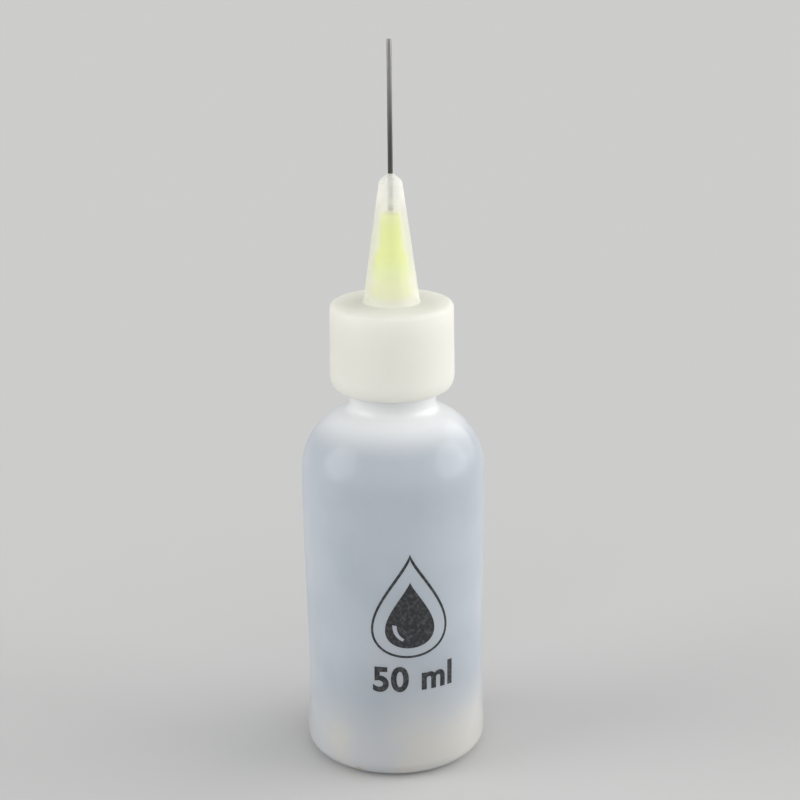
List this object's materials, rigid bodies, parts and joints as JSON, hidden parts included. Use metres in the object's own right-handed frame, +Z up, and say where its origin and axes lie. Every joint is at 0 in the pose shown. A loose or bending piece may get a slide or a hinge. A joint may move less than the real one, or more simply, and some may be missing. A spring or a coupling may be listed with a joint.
{
  "type": "glue applicator bottle",
  "caption": "Soft squeeze bottle with a screw cap, a conical spout and a blunt steel needle, for fine lines and drops of glue.",
  "frame": {"origin": "centre of the ring that the bottle stands on, at the lowest point of the base", "axes": "+Z up along the bottle's axis and the needle; -Y is the printed front; the thread is right-handed about +Z"},
  "size_m": [0.035, 0.035, 0.138],
  "materials": {
    "bottle": "milky translucent low-density polythene, blow moulded, satin",
    "cap": "ivory translucent low-density polythene, injection moulded, satin",
    "washer": "soft closed-cell polythene foam, white",
    "hub": "tinted translucent polypropylene, yellow-green",
    "adhesive": "cured clear resin",
    "needle": "drawn stainless steel tube, bright"
  },
  "bodies": {
    "bottle": {"bottle": "bottle"},
    "washer": {"sealing_washer": "washer"},
    "cap": {"screw_cap": "cap", "needle_hub": "hub", "hub_adhesive": "adhesive", "needle_tube": "needle"}
  },
  "joints": [
    {"name": "cap_lift", "type": "slide", "parent": "bottle", "child": "washer", "axis": [0, 0, 1], "range_m": [0, 0.01588]},
    {"name": "cap_turn", "type": "hinge", "parent": "washer", "child": "cap", "pos_m": [0, 0, 0.09], "axis": [0, 0, 1], "range_deg": [0, 1800]}
  ],
  "couplings": [
    {"joint": "cap_lift", "follows": "cap_turn", "m_per_rad": 0.00050532}
  ]
}
